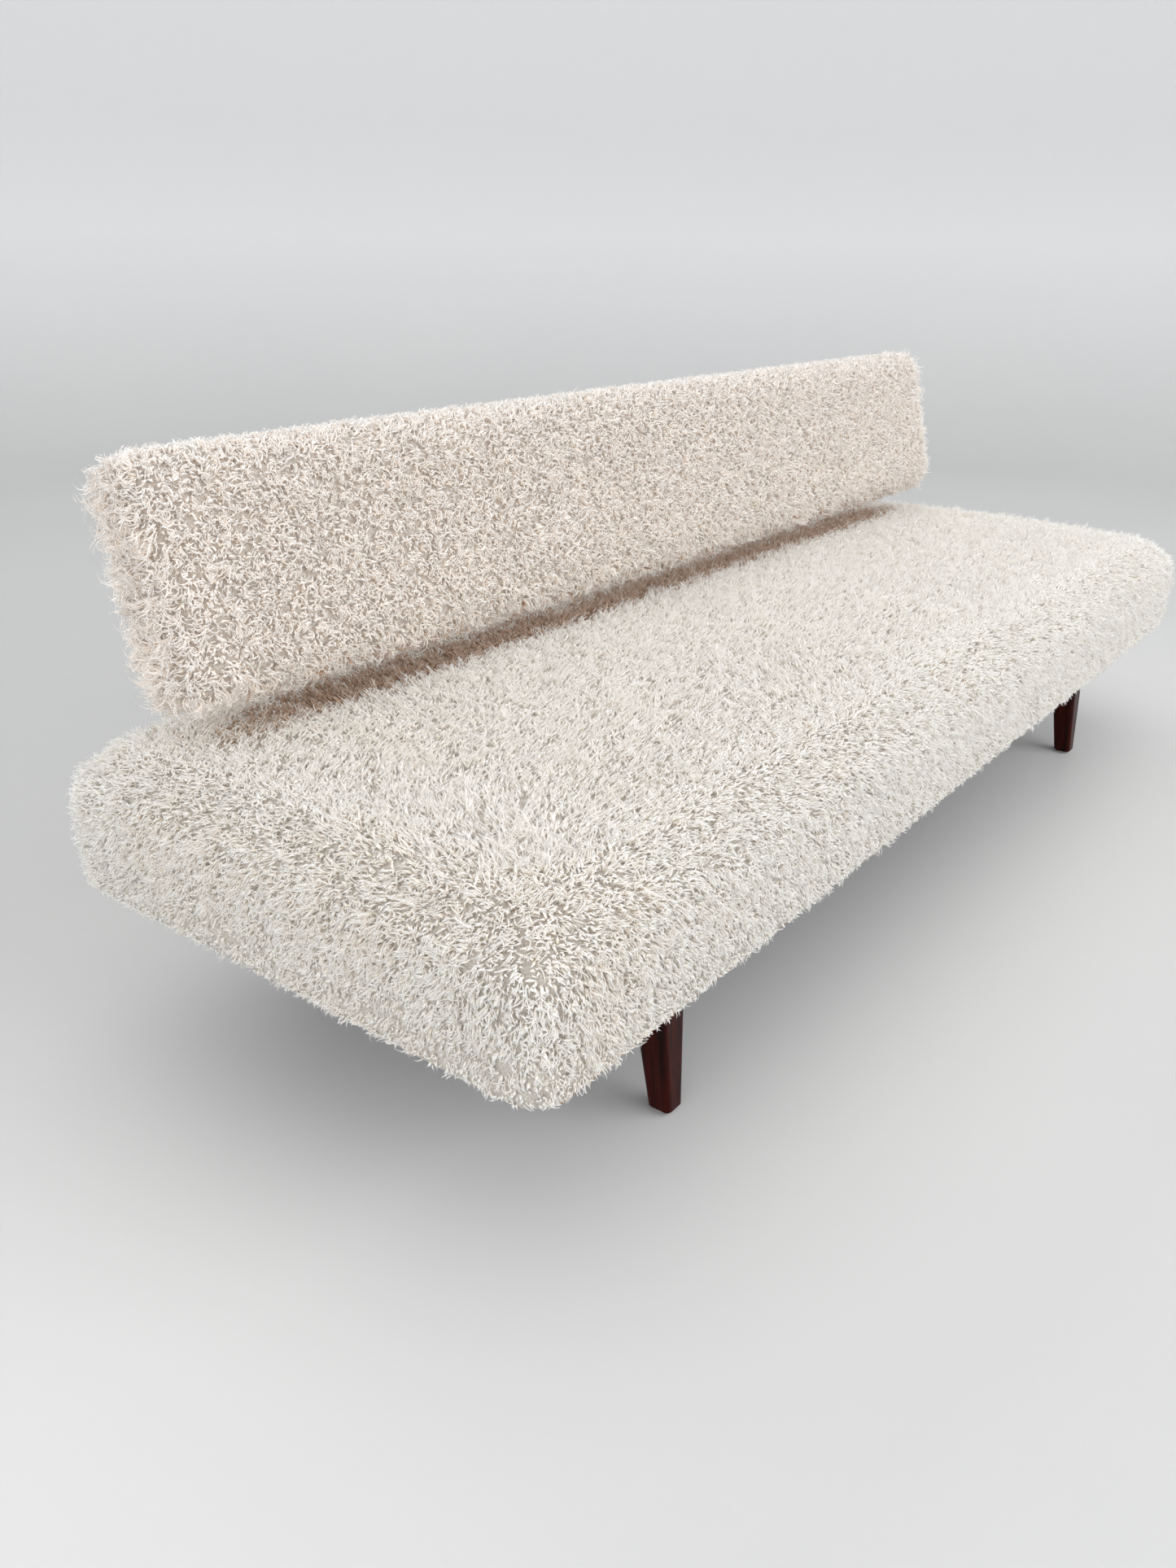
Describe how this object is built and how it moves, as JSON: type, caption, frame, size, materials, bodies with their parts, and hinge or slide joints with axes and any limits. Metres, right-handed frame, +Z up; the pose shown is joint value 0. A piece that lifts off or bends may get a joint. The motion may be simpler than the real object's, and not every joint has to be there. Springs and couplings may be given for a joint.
{
  "type": "daybed",
  "caption": "Low daybed: a shaggy fleece seat slab on splayed tapered wooden legs, with a long separate fleece backrest on steel arms hinged behind the seat so that it folds back.",
  "frame": {"origin": "on the floor, at the middle of the daybed's outline seen from above", "axes": "+X along the seat, to the right of someone who looks at the front; the front faces -Y; +Z up"},
  "size_m": [1.95, 0.7268, 0.6822],
  "materials": {
    "beech": "matte",
    "black_steel": "satin",
    "blued_tack_steel": "satin",
    "dust_cloth": "matte",
    "fibre": "matte",
    "fleece": "matte",
    "foam": "matte",
    "nylon": "satin",
    "plywood": "matte",
    "rosewood": "satin",
    "wadding": "matte",
    "webbing": "matte",
    "zinc_steel": "satin"
  },
  "bodies": {
    "base": {"bracket_bolts": "zinc_steel", "bracket_nuts": "zinc_steel", "corner_block_front_left": "beech", "corner_block_front_right": "beech", "corner_block_rear_left": "beech", "corner_block_rear_right": "beech", "dust_cover": "dust_cloth", "dust_cover_tacks": "blued_tack_steel", "foot_glides": "nylon", "frame_screws": "zinc_steel", "friction_washers": "fibre", "hinge_bracket_left": "black_steel", "hinge_bracket_right": "black_steel", "hinge_pin_left": "zinc_steel", "hinge_pin_nuts": "zinc_steel", "hinge_pin_right": "zinc_steel", "leg_beam_left": "beech", "leg_beam_right": "beech", "leg_front_left": "rosewood", "leg_front_right": "rosewood", "leg_plate_front_left": "zinc_steel", "leg_plate_front_right": "zinc_steel", "leg_plate_rear_left": "zinc_steel", "leg_plate_rear_right": "zinc_steel", "leg_plate_screws": "zinc_steel", "leg_rear_left": "rosewood", "leg_rear_right": "rosewood", "leg_studs": "zinc_steel", "seat_center_brace": "beech", "seat_cover": "fleece", "seat_foam": "foam", "seat_rail_front": "beech", "seat_rail_left": "beech", "seat_rail_rear": "beech", "seat_rail_right": "beech", "webbing_strap_01": "webbing", "webbing_strap_02": "webbing", "webbing_strap_03": "webbing", "webbing_strap_04": "webbing", "webbing_strap_05": "webbing", "webbing_strap_06": "webbing", "webbing_strap_07": "webbing", "webbing_strap_08": "webbing", "webbing_strap_09": "webbing", "webbing_strap_10": "webbing", "webbing_tacks": "blued_tack_steel"},
    "backrest": {"arm_bolts": "zinc_steel", "arm_nuts": "zinc_steel", "back_cover": "fleece", "back_foam": "foam", "back_pad": "wadding", "back_panel": "plywood", "back_post_left": "beech", "back_post_right": "beech", "back_rail_bottom": "beech", "back_rail_top": "beech", "back_stile_left": "beech", "back_stile_right": "beech", "hinge_arm_left": "black_steel", "hinge_arm_right": "black_steel"}
  },
  "joints": [
    {"name": "backrest_fold", "type": "hinge", "parent": "base", "child": "backrest", "pos_m": [0, 0.3434, 0.25], "axis": [-1, 0, 0], "range_deg": [0, 60]}
  ]
}
